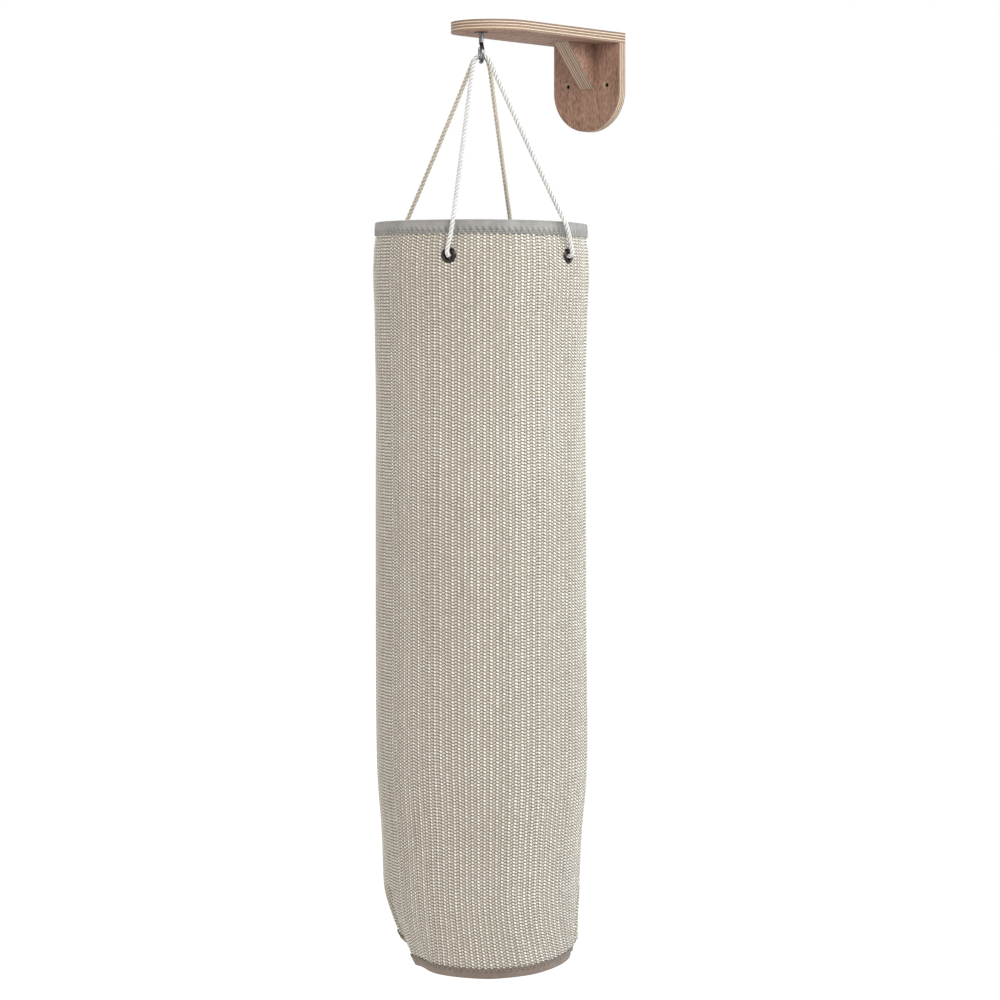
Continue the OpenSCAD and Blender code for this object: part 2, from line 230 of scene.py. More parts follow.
def sweep(build, path, marks, radius, sides):
    """Closed tube along path. radius(angle, mark) gives its outline. UV: turns, and mm along."""
    t, u, w = carried_frames(path)
    a = circle(sides)
    r = radius(a[None, :], marks[:, None]) * np.ones((len(marks), sides))
    ring = path[:, None] + r[..., None] * spokes(a, u[:, None], w[:, None])
    build.grid(ring, uv_grid(np.linspace(0, 1, sides + 1), marks), wrap=True)
    for row, sign in ((0, -1), (len(marks) - 1, 1)):
        top = path[row] + sign * t[row] * radius(0, marks[row]) * CAP_RISE
        pairs = zip(range(1, sides + 1), [*range(2, sides + 1), 1])
        faces = [(0, *pair[::sign]) for pair in pairs]
        build.add(np.vstack([top, ring[row]]), faces, [(0.5, marks[row])] * (3 * sides))


LAY_PITCH = 19.0  # length over which the strands wind once round


def laid(radius):
    """Outline of three laid strands that wind round each other."""
    offset, strand = 0.38 * radius, 0.62 * radius

    def outline(a, mark):
        turn = (a - 2 * math.pi * mark / LAY_PITCH) % (2 * math.pi / 3) - math.pi / 3
        return offset * np.cos(turn) + np.sqrt(strand**2 - (offset * np.sin(turn)) ** 2)

    return outline


# ---- material helpers


class Shade:
    """A node material written as expressions."""

    def __init__(self, name, **sockets):
        self.material = bpy.data.materials.new(name)
        self.material.use_nodes = True
        self.tree = self.material.node_tree
        self.shader = self.tree.nodes["Principled BSDF"]
        for key, value in sockets.items():
            self.shader.inputs[key.replace("_", " ")].default_value = value

    def put(self, socket, value):
        if isinstance(value, Value):
            self.tree.links.new(value.socket, socket)
        elif socket.type == "RGBA":
            socket.default_value = (*value, 1)
        else:
            socket.default_value = value

    def node(self, kind, out=0, settings=None, **inputs):
        """Adds a node. Its inputs go by name, or by number as i0, i1 and so on."""
        node = self.tree.nodes.new("ShaderNode" + kind)
        for key, value in (settings or {}).items():
            setattr(node, key, value)
        for key, value in inputs.items():
            socket = int(key[1:]) if key[1:].isdigit() else key.replace("_", " ")
            self.put(node.inputs[socket], value)
        return Value(self, node.outputs[out])

    def math(self, operation, *values, clamp=False):
        slots = {f"i{k}": v for k, v in enumerate(values)}
        return self.node("Math", settings={"operation": operation, "use_clamp": clamp}, **slots)

    def coords(self, kind):
        return self.node("TexCoord", out=kind)

    def split(self, vector):
        node = self.node("SeparateXYZ", i0=vector).socket.node
        return [Value(self, o) for o in node.outputs]

    def join(self, x, y, z=0.0):
        return self.node("CombineXYZ", i0=x, i1=y, i2=z)

    def noise(self, vector, scale, detail=2.0, roughness=0.5):
        return self.node("TexNoise", out="Fac", Vector=vector, Scale=scale, Detail=detail,
                         Roughness=roughness)

    def random(self, x, y=0.0, z=0.0):
        """One random number for each whole-numbered place."""
        return self.node("TexWhiteNoise", settings={"noise_dimensions": "3D"},
                         Vector=self.join(x, y, z))

    def mix(self, share, a, b):
        """Colour a where share is 0 and b where it is 1."""
        return self.node("Mix", out=2, settings={"data_type": "RGBA"}, i0=share, i6=a, i7=b)

    def ramp(self, value, *stops):
        """Colour or grey from stops of (place, colour)."""
        node = self.node("ValToRGB", i0=value).socket.node
        node.color_ramp.elements.remove(node.color_ramp.elements[1])
        for k, (place, colour) in enumerate(stops):
            colour = colour if isinstance(colour, tuple) else (colour,) * 3
            e = node.color_ramp.elements[0] if k == 0 else node.color_ramp.elements.new(place)
            e.position, e.color = place, (*colour, 1)
        return Value(self, node.outputs[0])

    def finish(self, colour, height=None, roughness=None, depth=0.001, strength=1.0):
        """Sets the surface, with bumps from height, and gives the material."""
        self.put(self.shader.inputs["Base Color"], colour)
        if roughness is not None:
            self.put(self.shader.inputs["Roughness"], roughness)
        if height is not None:
            bump = self.node("Bump", Strength=strength, Distance=depth, Height=height)
            self.put(self.shader.inputs["Normal"], bump)
        return self.material


class Value:
    """A node's output that arithmetic works on."""

    def __init__(self, shade, socket):
        self.shade, self.socket = shade, socket

    def __add__(self, o):
        return self.shade.math("ADD", self, o)

    def __sub__(self, o):
        return self.shade.math("SUBTRACT", self, o)

    def __rsub__(self, o):
        return self.shade.math("SUBTRACT", o, self)

    def __mul__(self, o):
        return self.shade.math("MULTIPLY", self, o)

    def __truediv__(self, o):
        return self.shade.math("DIVIDE", self, o)

    __radd__, __rmul__ = __add__, __mul__

    def f(self, operation, *others):
        return self.shade.math(operation, self, *others)

    def clamped(self):
        return self.shade.math("ADD", self, 0.0, clamp=True)

    def tent(self):
        """1 at each whole number, falling to 0 halfway between."""
        return (self.f("FRACT") - 0.5).f("ABSOLUTE") * 2


def times(share, colour):
    return tuple(share * c for c in colour)


# ---- camera

# Its lens and place come from a fit to the outlines of the bracket and the bag.
camera_data = bpy.data.cameras.new("camera")
camera_data.lens, camera_data.sensor_width = 112.306, 36
camera_data.shift_y = -0.03
camera_data.clip_end = 900
camera_data.dof.use_dof = False
camera = bpy.data.objects.new("camera", camera_data)
bpy.context.scene.collection.objects.link(camera)
camera.location = (2.5023, -3.498, -0.3236)
camera.rotation_euler = (math.radians(87.299), 0, math.radians(37.266))
bpy.context.scene.camera = camera

# ---- cords


def cord_material(name, light, dark):
    """Three-strand cotton. UV: u in turns round it, v in mm along it."""
    s = Shade(name, Roughness=0.92, Sheen_Weight=0.25, Sheen_Roughness=0.5)
    turn, along, _ = s.split(s.coords("UV"))
    lobe = (turn - along * (1 / LAY_PITCH)) * 3
    groove = lobe.tent()
    yarn = (lobe * 2.4 + along * 0.62).tent()
    spot = s.coords("Object")
    fibre = s.noise(spot, 2600.0, 3, 0.7)
    soil = s.noise(spot, 60.0, 3, 0.6)
    # The grooves between the strands and between the yarns are painted darker, as painted shade in
    # them; soil is random dirt.
    tone = (groove.f("POWER", 3.0) * 0.75 + yarn.f("POWER", 3.0) * 0.22
            + (fibre - 0.5) * 0.35 + (soil - 0.5) * 0.4)
    colour = s.mix(tone.clamped(), light, dark)
    height = fibre * 0.35 - yarn.f("POWER", 2.0) * 0.65 - groove.f("POWER", 4.0)
    return s.finish(colour, height, depth=0.0006)


CREAM = cord_material("cord_cotton", (0.53, 0.47, 0.39), (0.19, 0.155, 0.115))
# A whiter copy of the cord cotton: painted light for the front cord.
LIT_CORD = cord_material("cord_cotton_painted_lit", (0.60, 0.588, 0.565), (0.15, 0.142, 0.128))


def free_cord(name, node, turn, material):
    """One cord of the pair, the front one's route turned about the hook."""
    c, s = heading(turn)
    route = np.array(FRONT_ROUTE, float) @ np.array([(c, s, 0), (-s, c, 0), (0, 0, 1)])
    path, marks = smooth_path(route + HOOK, 1.0)
    b = Build()
    sweep(b, path, marks, laid(CORD_R), 30)
    obj = b.make(name, material, node)
    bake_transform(obj)


# The front cord wears the whiter copy of the cord cotton as painted light; the rear cord keeps the
# cream cotton.
free_cord("front_cord_laid", "front_cord", 0, LIT_CORD)
free_cord("rear_cord_laid", "rear_cord", REAR_TURN, CREAM)

# ---- the matting's shape

FLAT_W = 2 * math.pi * BAG_R
RIBS, BEAD_H = 106, 4.2
PLEAT_CORNER, PLEAT_BOTTOM = 18.0, 5.5  # fabric in each of a pleat's bends, and in half its fold
PLEAT_FULL, PLEAT_H = 88.0, 105.0  # fabric that a pleat takes in at the hem, and its height
LEAN = heading(37.55)
FOOT_SHIFT, FOOT_H = 11.0, 110.0
RIM_DIP, RIM_DIP_AT = 2.6, 37.5

# Slight swells of the stuffed tube: size, height, half width.
SWELLS = ((1.9, 905, 34), (-1.2, 737, 90), (-2.0, 178, 45), (1.2, 85, 22))
RIM_PINCH = 1.8

# Slow waves round it: size, number of waves, where they start, and how they wind with height.
WAVES = ((0.8, 2, 0.4, 190), (0.6, 3, 2.1, -120), (0.35, 5, 1.0, 75), (0.3, 1, 4.0, 60))

# How far the hem rides up, most behind the pleats: fabric length from the front, rise.
HEM_LIFT = [
    (-440, 14), (-330, 22), (-300, 26), (-260, 31), (-245, 31), (-230, 27), (-185, 16), (-150, 8),
    (-140, 4), (-130, 3.2), (-120, 3.2), (-110, 3), (-100, 1), (-90, 0), (0, -2), (60, 1),
    (118, 7.5), (130, 9), (150, 12), (235, 13), (300, 15), (440, 14),
]


def bell(x, middle, width):
    return np.exp(-(((x - middle) / width) ** 2))


def rise(h, low, length):
    """0 up to a height, and 1 from a length above it."""
    return np.clip((h - low) / length, 0, 1)


def fade(h, top):
    """1 at the hem, and 0 from a height on."""
    return np.clip(1 - h / top, 0, 1)


def radius_at(h):
    """Mean outer radius at a height: the CAD's, and the swells."""
    draw = fade(h, TAPER_H) ** TAPER_POWER
    swell = sum(size * bell(h, middle, width) for size, middle, width in SWELLS)
    return BAG_R - (BAG_R - HEM_R) * draw + swell - RIM_PINCH * rise(h, 940, 16)


def pleat_turns(x, wall, steepest):
    """Angle by which the fabric turns inwards at a distance x from a pleat's middle."""
    half = PLEAT_CORNER + wall + PLEAT_BOTTOM
    far = np.abs(x)
    share = np.clip((half - far) / PLEAT_CORNER, 0, 1) * np.clip(far / PLEAT_BOTTOM, 0, 1)
    return -np.sign(x) * share * steepest


def pleat_shape(h):
    """Straight wall's length and steepest angle of the pleats at a height."""
    taken = PLEAT_FULL * fade(h, PLEAT_H) ** 1.5
    x = np.linspace(-30, 30, 601)
    angles = np.linspace(0, math.pi / 2, 40)
    used = [(1 - np.cos(pleat_turns(x, 0.0, a))).sum() * (x[1] - x[0]) for a in angles]
    return max(0.0, (taken - used[-1]) / 2), float(np.interp(taken, used, angles))


def pleat_middle(angle):
    """Fabric length from the front to the middle of the pleat at a direction."""
    middle = math.radians(turned(angle, FRONT)) * HEM_R
    return middle + math.copysign(PLEAT_FULL / 2, middle)


def lift(s, h):
    """Rise of the fabric at a fabric length and a height."""
    at, up = np.array(HEM_LIFT, float).T
    soft = sum(np.interp(s + d, at, up, period=FLAT_W) for d in (-6, 0, 6)) / 3
    return soft * fade(h, 190) ** 2


def bulge(angle, h):
    """Unevenness of the filled tube: waves between rim and hem, and the foot's own dents."""
    inside = np.clip(h / 90, 0, 1) * np.clip((BAG_H - h) / 120, 0, 1)
    waves = sum(a * np.sin(k * angle + p + h / q) for a, k, p, q in WAVES)

    def near(direction, width):
        return bell(turned(np.degrees(angle), direction), 0, width)

    foot = -7.0 * near(252, 15) * fade(h, 60) + 6.5 * near(213, 20) * fade(h, 150) ** 1.5
    corner = 5.5 * fade(h, 150) - 8.0 * np.clip((17 - h) / 9, 0, 1)
    dent = 3.2 * near(293, 14) * bell(h, 221, 48)
    return inside * waves + foot + near(37, 24) * corner - dent


def tube(s, heights, inset):
    """Points of the matting, rows x columns. s: each column's fabric length from the front;
    heights: each row's; inset: depth under the outer face, one number or rows x columns."""
    s, heights = np.asarray(s, float), np.atleast_1d(np.asarray(heights, float))
    inset = np.broadcast_to(inset, (len(heights), len(s)))
    out = np.zeros((len(heights), len(s), 3))
    fine = np.linspace(-FLAT_W / 2, FLAT_W / 2, 1761)
    step = fine[1] - fine[0]
    place = (s + FLAT_W / 2) % FLAT_W - FLAT_W / 2
    for i, h in enumerate(heights):
        wall, steepest = pleat_shape(max(h, 0.0))
        turns, depth = np.zeros_like(fine), np.zeros((len(fine), 2))
        for a in PLEAT_ANGLES:
            turn = pleat_turns(fine - pleat_middle(a), wall, steepest)
            turns += turn
            depth += np.cumsum(np.sin(turn) * step)[:, None] * heading(a)
        advance = np.cumsum(np.cos(turns)) * step
        whole = np.cos(turns).sum() * step
        angle = math.radians(FRONT) + (advance - np.interp(0, fine, advance)) * 2 * math.pi / whole
        outwards = np.stack([np.cos(angle), np.sin(angle)], 1)
        r = radius_at(np.clip(h, 0, BAG_H)) + bulge(angle, h)
        at = r[:, None] * outwards - depth + LEAN * FOOT_SHIFT * fade(max(h, 0), FOOT_H) ** 1.5
        dip = RIM_DIP * bell(turned(np.degrees(angle), RIM_DIP_AT), 0, 50) * rise(h, 850, 120)
        slope = np.gradient(at, axis=0)
        slope[0] = slope[-1] = slope[1] + slope[-2]
        t = unit(sample(place, fine, slope))
        normal = np.stack([t[:, 1], -t[:, 0]], 1)
        out[i, :, :2] = sample(place, fine, at) - inset[i][:, None] * normal + HOOK[:2]
        out[i, :, 2] = np.interp(place, fine, HEM_Z + h + lift(fine, max(h, 0.0)) - dip)
    return out


def place_of(angle):
    """Fabric length from the front at a direction, on the straight stretch."""
    return math.radians(turned(angle, FRONT)) * BAG_R


def around(count):
    """Even fabric lengths once round the tube, from the sewn seam on."""
    return np.arange(count) / count * FLAT_W + place_of(SEAM_ANGLE)


# ---- matting


BEAD_HALF_W, BEAD_HALF_H = 0.27, 0.40  # in ribs, and in bead rows
BACK_ROW = 0.80  # height of a rib's second column over its first


def matting_material():
    """Rug weave of plant fibre in its natural colour, with painted shade in the gaps between
    the beads and on each rib's second, lower column of beads. UV: u in ribs, v in bead rows.
    """
    s = Shade("matting_fibre", Roughness=0.86, Sheen_Weight=0.12, Sheen_Roughness=0.6)
    u, v, _ = s.split(s.coords("UV"))
    rib, across = u.f("FLOOR"), u.f("FRACT")
    spot = s.coords("Object")
    wander = s.noise(spot, 90.0, 2, 0.5)
    across = across + (wander - 0.5) * 0.16

    def bead(centre, shift, lean):
        """Roundness and number of the nearest bead in one of a rib's two columns."""
        off = across - centre
        row = v + off * lean + (shift + 0.5) + (s.random(rib, centre * 10) - 0.5) * 0.5
        number = row.f("FLOOR")
        up = row.f("FRACT") - 0.5
        out = (off * (1 / BEAD_HALF_W)).f("POWER", 2.0) + (up * (1 / BEAD_HALF_H)).f("POWER", 2.0)
        return (1 - out).f("MAXIMUM", 0.0).f("SQRT"), number

    first, n1 = bead(0.27, 0.0, 0.6)
    second, n2 = bead(0.75, 0.5, (s.random(rib, 9.0) - 0.4) * 1.6)
    shade1 = s.random(rib, n1, 1.0)
    shade2 = s.random(rib, n2, 2.0)
    of_rib = s.random(rib, 7.0)
    fibre = s.noise(s.join(u * 26.0, v * 9.0 + u * 14.0), 1.0, 3, 0.65)
    large = s.noise(spot, 5.0, 3, 0.55)
    height = first.f("MAXIMUM", second * BACK_ROW)
    is_first = first.f("GREATER_THAN", second * BACK_ROW)
    shade = shade1 * is_first + shade2 * (1 - is_first)
    # Each rib's second, lower column of beads gets a darker copy of the fibre colour: painted
    # shade.
    light = s.mix(is_first, (0.66, 0.612, 0.53), (0.885, 0.845, 0.775))
    tone = ((shade - 0.5) * 0.4 + (of_rib - 0.5) * 0.12 + (fibre - 0.5) * 0.7
            + (large - 0.5) * 0.5 + 0.3)
    fibre_with_painted_shade = s.mix(tone.clamped(), light, (0.36, 0.30, 0.215))
    stray = s.noise(s.join(u * 0.35, v * 0.03), 1.0, 1, 0.5).f("GREATER_THAN", 0.70)
    stray = stray * (1 - is_first)
    fibre_with_painted_shade = s.mix(stray * 0.25, fibre_with_painted_shade, (0.22, 0.16, 0.10))
    # The gaps between the beads are painted dark, following the weave's height: painted shade in
    # them.
    gap = s.mix(shade, (0.118, 0.098, 0.073), (0.20, 0.168, 0.130))
    colour = s.mix(height.f("POWER", 0.9), gap, fibre_with_painted_shade)
    return s.finish(colour, height + (fibre - 0.5) * 0.35, depth=0.0016, strength=0.9)


MATTING = matting_material()


def relief(columns, rows):
    """Depth of the weave under the outer face. Of a rib's four columns of points, two are its
    beads, whose rows stand proud by turns, and two are the gaps beside them."""
    c, r = np.meshgrid(columns % 4, rows % 2)
    gaps = np.where(c == 0, 1.5, np.where(c == 2, 0.9, 0.0))
    first = np.where((c == 1) & (r == 1), 1.1, 0)
    return gaps + first + np.where(c == 3, np.where(r == 0, 1.1, 0.2), 0)


EYELET_OPENING = 6.6


def clear_of_eyelets(centres):
    """Keeps the faces outside the eyelets' openings."""
    keep = np.ones(len(centres), bool)
    for a in EYELET_ANGLES:
        d = heading(a)
        p = centres - HOOK
        off = np.hypot(p[:, 0] * -d[1] + p[:, 1] * d[0], p[:, 2] - EYELET_Z)
        keep &= (off > EYELET_OPENING) | (p[:, :2] @ d < 0)
    return keep


def matting():
    per_rib, per_bead = ((4, 2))
    columns = np.arange(RIBS * per_rib)
    rows = np.arange(round(BAG_H / BEAD_H) * per_bead + 1)
    s = around(len(columns))
    depth = relief(columns * (4 // per_rib), rows)
    outer = tube(s, rows / rows[-1] * BAG_H, depth)
    turns = np.arange(len(columns) + 1) / per_rib
    uv = uv_grid(turns, rows / per_bead)
    b = Build()
    b.grid(outer, uv, wrap=True, keep=clear_of_eyelets)
    near_hem = [0, 6, 12, 20, 40, 60, 80, 100, 160, 230]
    near_eyelets = [916, 920, 924, 928, 932, 936, 940]
    inner_h = np.array([*near_hem, 330, 500, 700, 860, *near_eyelets, 956, BAG_H])
    inner = tube(s, inner_h, MATTING_T)
    inner_uv = uv_grid(turns, inner_h / BEAD_H)
    b.grid(inner, inner_uv, wrap=True, flip=True, keep=clear_of_eyelets)
    for row in (0, -1):
        edge_uv = np.stack([uv[row], uv[row] + (0, 1)])
        b.grid(np.stack([inner[row], outer[row]]), edge_uv, wrap=True, flip=row == -1)
    obj = b.make("matting_weave", MATTING, "matting_tube", "bag")


matting()

# ---- tapes and sewing


TAPE_OUT, TAPE_IN = 0.8, 0.1  # how far a tape's outer and inner face stand off the matting
SEW_IN = 3.0  # from a tape's edge to its stitches
PUCKER = 0.35


def cloth_material(name, light, dark, thread=0.55, dimpled=0.0):
    """Narrow woven tape or canvas. UV in mm; thread: its threads' width; dimpled: width over
    which the matting's ribs show through as painted shade in the dimples between them, with a
    darker band along the row of stitches below it."""
    s = Shade(name, Roughness=0.9, Sheen_Weight=0.2, Sheen_Roughness=0.5)
    u, v, _ = s.split(s.coords("UV"))
    wander = (s.noise(s.join(u, v), 0.35, 2, 0.5) - 0.5) * 0.5
    warp = ((u + wander) * (1 / thread) / 2).f("PINGPONG", 0.5) * 2
    weft = ((v + wander) * (1 / thread) / 2).f("PINGPONG", 0.5) * 2
    row = s.random(((v + wander) * (1 / thread)).f("FLOOR"), 3.0)
    fibre = s.noise(s.join(u * 3.0, v * 3.0), 1.0, 3, 0.7)
    soil = s.noise(s.join(u, v), 0.045, 3, 0.6)
    height = warp.f("MAXIMUM", weft * 0.75)
    # Lower between the threads is painted darker: painted shade.
    tone = ((1 - height) * 0.5 + (fibre - 0.5) * 0.5 + (soil - 0.5) * 0.9
            + (row - 0.5) * 0.2 + 0.3)
    if dimpled:
        # Painted shade in the dimples between the matting's ribs under the tape; sewn_line is a
        # darker band along the stitches.
        rib = ((u * (RIBS / FLAT_W) + v * 0.06).f("PINGPONG", 0.5) * 2).f("POWER", 1.5)
        low = (1 - (v - dimpled * 0.55).f("ABSOLUTE") * (2 / dimpled)).f("MAXIMUM", 0.0).f("SQRT")
        sewn_line = (1 - (v - SEW_IN).f("ABSOLUTE") * (1 / 1.7)).f("MAXIMUM", 0.0)
        tone = tone + (rib - 0.25) * low * 0.65 + sewn_line * 0.55
    colour = s.mix(tone.clamped(), light, dark)
    return s.finish(colour, height + fibre * 0.4, depth=0.00035)


def thread_material(name, light, dark):
    """Twisted sewing thread. UV: u in turns round it, v in mm along it."""
    s = Shade(name, Roughness=0.6, Sheen_Weight=0.15)
    u, v, _ = s.split(s.coords("UV"))
    ply = (u * 2.0 + v * 1.1).tent()
    fuzz = s.noise(s.coords("Object"), 3000.0, 2, 0.6)
    # The grooves between the plies are painted darker: painted shade.
    tone = ply.f("POWER", 2.0) * 0.7 + (fuzz - 0.5) * 0.5
    return s.finish(s.mix(tone.clamped(), light, dark), 1 - ply, depth=0.00015)


def folded_tape(name, node, material, edge, outward, reach, bulk):
    """Tape folded over the matting's edge at height `edge`. outward: 1 at the rim, -1 at the hem;
    reach: how far each side of it comes; bulk: how far it swells over the matting."""
    t, w, lining = TAPE_OUT, MATTING_T + TAPE_OUT, MATTING_T + TAPE_IN
    section = [  # depth under the matting's face, and height over its edge
        (-t, -reach), (-t - 0.25, -reach + 1.2), (-t - 0.1, -reach + 3),
        (-t - bulk, -reach / 2), (-t - 0.1, -2.5),
        (-t + 0.1, 0.0), (-0.3, 1.2), (2.0, 1.6), (4.0, 1.7), (6.0, 1.6),
        (w - 1, 1.2), (w - 0.1, 0.0),
        (w + 0.1, -2.5), (w + bulk, -reach / 2), (w, -reach),
        (lining, -reach), (lining, -reach / 2), (lining, -1.0), (6.0, 0.4), (2.0, 0.4),
        (-TAPE_IN, -1.0), (-TAPE_IN, -reach / 2), (-TAPE_IN, -reach), (-t, -reach),
    ]
    columns = 6 * RIBS
    s = around(columns)
    inset = np.array([a for a, _ in section])[:, None]
    h = edge + outward * np.array([b for _, b in section])
    sewn_part = np.array([a < 0 and b < -reach * 0.45 for a, b in section])[:, None]
    pucker = PUCKER * np.cos(s / FLAT_W * 2 * math.pi * RIBS)[None, :] * sewn_part
    points = tube(s, h, inset + pucker)
    uv = uv_grid(np.arange(columns + 1) * FLAT_W / columns, lengths_along(np.array(section)))
    b = Build()
    b.grid(points[:-1], uv[:-1], wrap=True, flip=outward < 0)
    b.grid(points[[-2, 0]], uv[[-2, -1]], wrap=True, flip=outward < 0)
    obj = b.make(name, material, node, "bag")


def stitches(build, line, out, length=3.9, gap=1.5, thickness=0.9):
    """Stitches along a line of points whose outward directions are `out`; their ends dip into
    the cloth."""
    along = lengths_along(line)
    count = int(along[-1] / (length + gap))
    middle = (np.arange(count) + 0.5) * along[-1] / count
    x = np.array([-0.5, -0.46, -0.34, -0.14, 0.14, 0.34, 0.46, 0.5])
    thick = np.array([0.5, 0.85, 1, 1, 1, 1, 0.85, 0.5]) * thickness / 2
    sink = np.array([-1.3, -0.7, 0, 0.2, 0.2, 0, -0.7, -1.3]) * thickness / 2
    sides = 6
    for m in middle:
        marks = np.clip(m + x * length, 0, along[-1])
        centre, normal = sample(marks, along, line), unit(sample(marks, along, out))
        ahead, behind = (sample(np.clip(marks + d, 0, along[-1]), along, line) for d in (0.5, -0.5))
        side = unit(np.cross(unit(ahead - behind), normal))
        ring = (centre + sink[:, None] * normal)[:, None] + thick[:, None, None] * spokes(
            circle(sides), normal[:, None], side[:, None])
        build.grid(ring, uv_grid(np.linspace(0, 1, sides + 1), marks), wrap=True)
        build.lids(len(x), sides, marks[[0, -1]])


def sewn(name, node, slot, material, lines, **size):
    """lines: (fabric lengths, heights, inset) of each row of stitches, and the side its outside
    faces. One of the first two is a single number."""
    b = Build()
    for s, h, inset, side in lines:
        if np.ndim(h) == 0:
            line, under = (tube(s, [h], i)[0] for i in (inset, inset + 1))
        else:
            line, under = (tube([s], h, i)[:, 0] for i in (inset, inset + 1))
        stitches(b, line, (line - under) * side, **size)
    b.make(name, material, node, "bag")


RIM_CLOTH = cloth_material("rim_cotton", (0.345, 0.335, 0.32), (0.105, 0.095, 0.083), dimpled=9.0)
HEM_CLOTH = cloth_material("hem_cotton", (0.216, 0.165, 0.13), (0.09, 0.065, 0.048), dimpled=6.0)
RIM_THREAD = thread_material("rim_polyester", (0.40, 0.385, 0.36), (0.22, 0.21, 0.195))
HEM_THREAD = thread_material("hem_polyester", (0.27, 0.22, 0.18), (0.13, 0.10, 0.08))
SEAM_THREAD = thread_material("seam_polyester", (0.58, 0.53, 0.44), (0.36, 0.31, 0.24))

ROUND = around(700)
THREAD_LIFT = 0.25
OUTSIDE, INSIDE = -TAPE_OUT - THREAD_LIFT, MATTING_T + TAPE_OUT + THREAD_LIFT
folded_tape("rim_tape_folded", "rim_tape", RIM_CLOTH, BAG_H, 1, RIM_TAPE_H, 0.35)
folded_tape("hem_tape_folded", "hem_tape", HEM_CLOTH, 0.0, -1, HEM_TAPE_H, 0.3)
rim_row, hem_row = BAG_H - RIM_TAPE_H + SEW_IN, HEM_TAPE_H - SEW_IN
for edge, row, thread in (("rim", rim_row, RIM_THREAD), ("hem", hem_row, HEM_THREAD)):
    sewn(edge + "_stitches", edge + "_stitching", edge + "_thread", thread,
         [(ROUND, row, OUTSIDE, 1), (ROUND, row, INSIDE, -1)])
seam_h = np.linspace(HEM_TAPE_H + 3, BAG_H - RIM_TAPE_H - 2, 300)
seam_rows = [(place_of(SEAM_ANGLE) + d, seam_h, -0.35, 1) for d in (-7.3, 7.3)]
sewn("seam_stitches", "seam_stitching", "seam_thread", SEAM_THREAD, seam_rows,
     length=5.0, gap=1.6, thickness=1.1)


def seam_tape():
    s = place_of(SEAM_ANGLE) + np.linspace(-15, 15, 9)
    h = np.linspace(HEM_TAPE_H + 0.5, BAG_H - RIM_TAPE_H - 0.5, 90)
    low = MATTING_T + 0.1
    thin_edge = np.where(np.abs(s - s.mean()) > 14, 0.7, 1)
    inner, outer = tube(s, h, low + TAPE_T * thin_edge), tube(s, h, low)
    uv = np.stack(np.broadcast_arrays(h[:, None], s[None, :]), -1)
    b = Build()
    b.grid(outer, uv)
    b.grid(inner, uv, flip=True)
    for j, flip in ((0, False), (-1, True)):
        side = np.stack([inner[:, j], outer[:, j]], 1)
        b.grid(side, np.stack([uv[:, j]] * 2, 1), flip=flip)
    for i, flip in ((0, False), (-1, True)):
        b.grid(np.stack([inner[i], outer[i]]), np.stack([uv[i]] * 2), flip=flip)
    cotton = cloth_material("seam_cotton", (0.52, 0.49, 0.43), (0.35, 0.32, 0.27))
    obj = b.make("seam_tape_inside", cotton, "seam_tape", "bag")


def pleat_tacks():
    """Wraps of thread across the mouth of each pleat."""
    b = Build()
    for a in PLEAT_ANGLES:
        for h in np.arange(1.5, 11, 1.6):
            reach = PLEAT_BOTTOM + pleat_shape(h)[0] * 0.85
            ends = tube(pleat_middle(a) + np.array([-1, 1]) * reach, [h], 1.0 - TAPE_OUT)[0]
            line = ends[0] + (ends[1] - ends[0]) * np.linspace(0, 1, 9)[:, None]
            sweep(b, line, np.linspace(0, 9, 9), lambda angle, mark: 0.55 + 0 * angle * mark, 8)
    b.make("pleat_bar_tacks", HEM_THREAD, "pleat_tacks", "bag")


seam_tape()
pleat_tacks()

# ---- eyelets and knots


def metal_material(name, colour, dark, roughness):
    s = Shade(name, Metallic=1.0, Specular_IOR_Level=0.5)
    spot = s.coords("Object")
    cloud = s.noise(spot, 220.0, 4, 0.6)
    drawn_out = [c * k for c, k in zip(s.split(spot), (2600.0, 2600.0, 260.0))]
    scratch = s.noise(s.join(*drawn_out), 1.0, 2, 0.6)
    rough = roughness + (cloud - 0.5) * 0.25 + (scratch - 0.5) * 0.15
    return s.finish(s.mix((cloud - 0.1).clamped(), colour, dark), scratch, rough, depth=0.00004)


GUNMETAL = metal_material("gunmetal", (0.055, 0.05, 0.046), (0.016, 0.014, 0.013), 0.3)
ZINC = metal_material("zinc_plate", (0.21, 0.212, 0.22), (0.075, 0.075, 0.08), 0.28)
DARK_STEEL = metal_material("dark_steel", (0.065, 0.057, 0.05), (0.022, 0.019, 0.016), 0.5)
SCREW_ZINC = metal_material("screw_zinc", (0.62, 0.60, 0.54), (0.42, 0.40, 0.34), 0.36)


def lathe(build, profile, place):
    """Turns points (distance along the axis, radius) round it. place: its start and directions."""
    middle, axis, u, w = place
    sides = 48
    p = np.array(profile, float)
    points = middle + p[:, 0, None, None] * axis + p[:, 1, None, None] * spokes(circle(sides), u, w)
    uv = uv_grid(np.arange(sides + 1) / sides, lengths_along(p))
    build.grid(points, uv, wrap=True)
    build.grid(points[[-1, 0]], uv[[-1, 0]], wrap=True)


def eyelet_frames():
    """Middle on the tube's face, and directions outwards, sideways and up."""
    for a in EYELET_ANGLES:
        x, y = heading(a)
        d, up = np.array([x, y, 0.0]), np.array([0.0, 0.0, 1.0])
        yield HOOK + d * BAG_R + (0, 0, EYELET_Z), d, np.array([-y, x, 0.0]), up


def arc_profile(points):
    return smooth_path([(x, r, 0) for x, r in points], 0.45)[0][:, :2]


